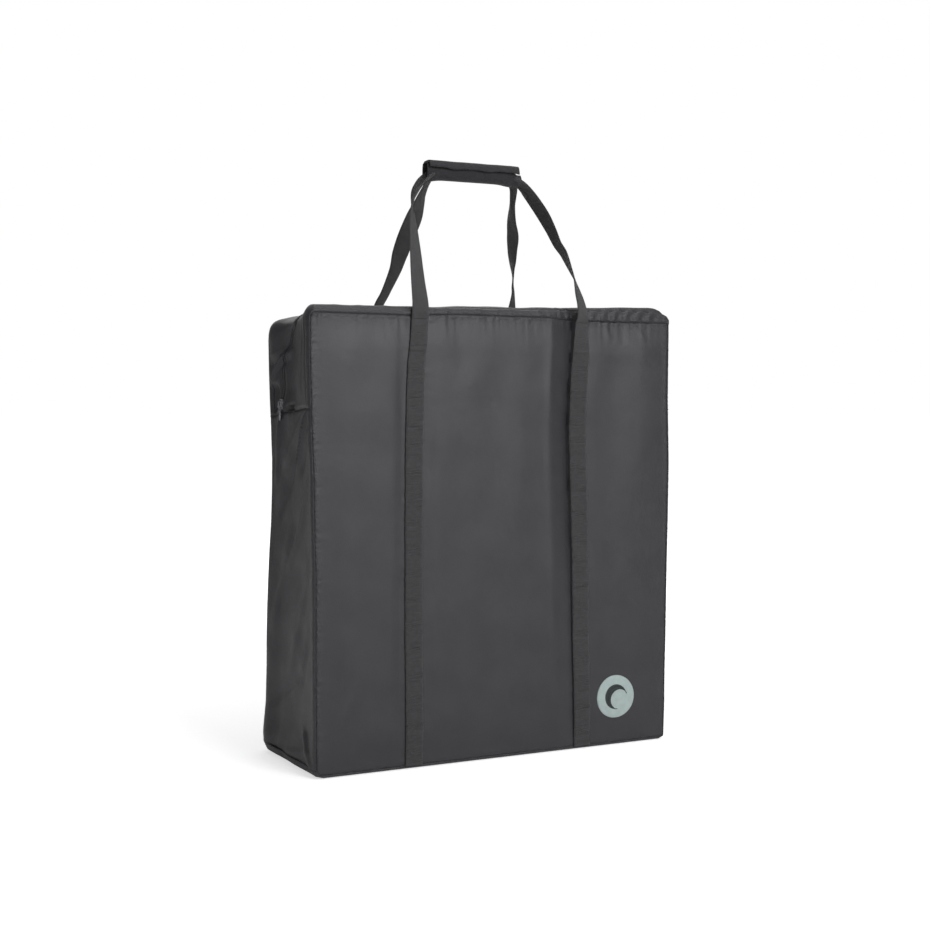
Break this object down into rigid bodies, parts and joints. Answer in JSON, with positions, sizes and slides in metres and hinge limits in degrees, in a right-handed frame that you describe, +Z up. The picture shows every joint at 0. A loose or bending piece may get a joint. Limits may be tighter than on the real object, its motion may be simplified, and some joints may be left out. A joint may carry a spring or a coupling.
{
  "type": "playpen",
  "caption": "Flat-folding playpen packed upright in a dark grey zipped carry bag, with webbing handles held together by a padded wrap grip.",
  "frame": {"origin": "middle of the footprint, on the surface the bag stands on", "axes": "+Z up, +X to the bag's right as seen from the front, the front panel faces -Y"},
  "size_m": [0.547, 0.1933, 0.8263],
  "materials": {
    "bag_cloth": "smooth coated woven polyester, slightly satin",
    "zip_chain": "nylon coil zip on woven tape",
    "zip_metal": "cast zinc, dark paint",
    "webbing": "25 mm woven polypropylene webbing",
    "grip_padding": "padded woven polyester",
    "hook_and_loop": "hook-and-loop tape",
    "badge": "flat printed disc",
    "mattress_cloth": "padded ticking",
    "mesh_cloth": "knitted netting",
    "frame_tube": "powder coat, matt",
    "joint_plastic": "moulded, fine grain",
    "foot_rubber": "matt"
  },
  "bodies": {
    "root": {"front_panel": "bag_cloth", "back_panel": "bag_cloth", "left_gusset": "bag_cloth", "right_gusset": "bag_cloth", "bottom_panel": "bag_cloth", "shoulder_front": "bag_cloth", "shoulder_rear": "bag_cloth", "left_drop_front": "bag_cloth", "left_drop_rear": "bag_cloth", "right_drop_front": "bag_cloth", "right_drop_rear": "bag_cloth", "zip_left_front": "zip_chain", "zip_left_rear": "zip_chain", "zip_right_front": "zip_chain", "zip_right_rear": "zip_chain", "webbing_front_left": "webbing", "webbing_front_right": "webbing", "webbing_back_left": "webbing", "webbing_back_right": "webbing", "strap_front_left": "webbing", "strap_front_right": "webbing", "strap_back_left": "webbing", "strap_back_right": "webbing", "badge": "badge", "mattress_section_front": "mattress_cloth", "mattress_section_rear": "mattress_cloth", "folded_mesh_walls": "mesh_cloth", "end_rail_front": "frame_tube", "end_rail_rear": "frame_tube", "half_rail_front_upper": "frame_tube", "half_rail_front_lower": "frame_tube", "half_rail_rear_upper": "frame_tube", "half_rail_rear_lower": "frame_tube", "leg_front_upper": "frame_tube", "leg_front_lower": "frame_tube", "leg_rear_upper": "frame_tube", "leg_rear_lower": "frame_tube", "corner_joint_front_upper": "joint_plastic", "corner_joint_front_lower": "joint_plastic", "corner_joint_rear_upper": "joint_plastic", "corner_joint_rear_lower": "joint_plastic", "fold_hub_upper": "joint_plastic", "fold_hub_lower": "joint_plastic", "foot_front_upper": "foot_rubber", "foot_front_lower": "foot_rubber", "foot_rear_upper": "foot_rubber", "foot_rear_lower": "foot_rubber"},
    "lid_front": {"lid_front": "bag_cloth", "zip_top_front": "zip_chain"},
    "lid_rear": {"lid_rear": "bag_cloth", "zip_top_rear": "zip_chain"},
    "slider": {"zip_slider": "zip_metal"},
    "pull": {"zip_pull": "zip_metal"},
    "grip": {"grip_wrap": "grip_padding", "grip_webbing_front": "webbing", "grip_webbing_rear": "webbing", "loop_strip": "hook_and_loop"},
    "flap": {"grip_flap": "grip_padding", "hook_strip": "hook_and_loop"}
  },
  "joints": [
    {"name": "lid_front_open", "type": "hinge", "parent": "root", "child": "lid_front", "pos_m": [0, -0.0735, 0.6172], "axis": [1, 0, 0], "range_deg": [0, 45]},
    {"name": "lid_rear_open", "type": "hinge", "parent": "root", "child": "lid_rear", "pos_m": [0, 0.0735, 0.6172], "axis": [-1, 0, 0], "range_deg": [0, 45]},
    {"name": "zip_slide", "type": "slide", "parent": "root", "child": "slider", "axis": [0, 0, 1], "range_m": [0, 0.044]},
    {"name": "pull_swing", "type": "hinge", "parent": "slider", "child": "pull", "pos_m": [-0.2691, 0.045, 0.4835], "axis": [0, 1, 0], "range_deg": [0, 120]},
    {"name": "handle_drop", "type": "slide", "parent": "root", "child": "grip", "axis": [0, 0, -1], "range_m": [0, 0.055], "deforming": ["strap_front_left", "strap_front_right", "strap_back_left", "strap_back_right"]},
    {"name": "flap_open", "type": "hinge", "parent": "grip", "child": "flap", "pos_m": [0, -0.0023, 0.8232], "axis": [-1, 0, 0], "range_deg": [0, 115]}
  ]
}
